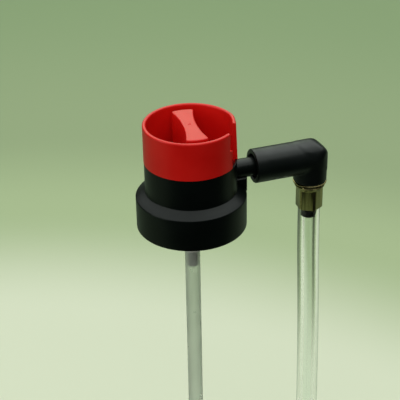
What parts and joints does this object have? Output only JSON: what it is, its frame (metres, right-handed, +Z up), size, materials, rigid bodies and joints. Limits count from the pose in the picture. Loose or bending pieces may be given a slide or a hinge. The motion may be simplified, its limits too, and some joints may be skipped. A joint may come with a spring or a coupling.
{
  "type": "tire inflator valve",
  "caption": "Can-top tyre inflator valve: two-tier collar, guarded quarter-turn knob, swivelling outlet elbow and clear hose ending in a screw-on chuck.",
  "frame": {"origin": "centre of the collar's lower rim, on the valve's axis, inside the wall of the mounting cup that seats in the can's mouth", "axes": "+Z up along the valve's axis, +X along the outlet spigot towards the elbow"},
  "size_m": [0.0627, 0.0336, 0.1899],
  "materials": {
    "black_plastic": "satin moulded polypropylene",
    "red_plastic": "smooth moulded polypropylene",
    "black_rubber": "moulded nitrile",
    "spring_steel": "drawn",
    "tinplate": "pressed tinplate",
    "white_plastic": "natural moulded nylon",
    "clear_tube": "natural extruded polyethylene",
    "brass": "turned and crimped",
    "clear_hose": "clear extruded PVC"
  },
  "bodies": {
    "valve_body": {"collar": "black_plastic", "guard_ring": "red_plastic", "gland_ring": "black_rubber", "gland_washer": "spring_steel", "stem_seal": "black_rubber", "stem_washer": "spring_steel", "mounting_cup": "tinplate", "cup_gasket": "black_rubber", "stem_gasket": "black_rubber", "return_spring": "spring_steel", "valve_housing": "white_plastic", "dip_tube": "clear_tube", "spigot_ring": "black_rubber"},
    "stem": {"valve_stem": "white_plastic"},
    "knob": {"knob": "red_plastic"},
    "outlet": {"elbow": "black_plastic", "top_ferrule": "brass", "hose": "clear_hose", "bottom_ferrule": "brass", "chuck_body": "brass", "chuck_washer": "black_rubber", "core_pin": "brass"},
    "nut": {"chuck_nut": "brass"}
  },
  "joints": [
    {"name": "stem_press", "type": "slide", "parent": "valve_body", "child": "stem", "axis": [0, 0, -1], "range_m": [0, 0.0008], "stiffness_N_per_m": 60, "springref_m": -0.001, "deforming": ["return_spring"]},
    {"name": "knob_turn", "type": "hinge", "parent": "stem", "child": "knob", "pos_m": [0, 0, 0.02], "axis": [0, 0, -1], "range_deg": [0, 90]},
    {"name": "elbow_swivel", "type": "hinge", "parent": "valve_body", "child": "outlet", "pos_m": [0.025, 0, 0.0158], "axis": [1, 0, 0], "range_deg": [-90, 90]},
    {"name": "nut_turn", "type": "hinge", "parent": "outlet", "child": "nut", "pos_m": [0.0405, 0, -0.149], "axis": [0, 0, 1], "continuous": true}
  ],
  "couplings": [
    {"joint": "knob_turn", "follows": "stem_press", "rad_per_m": 1963.5}
  ]
}
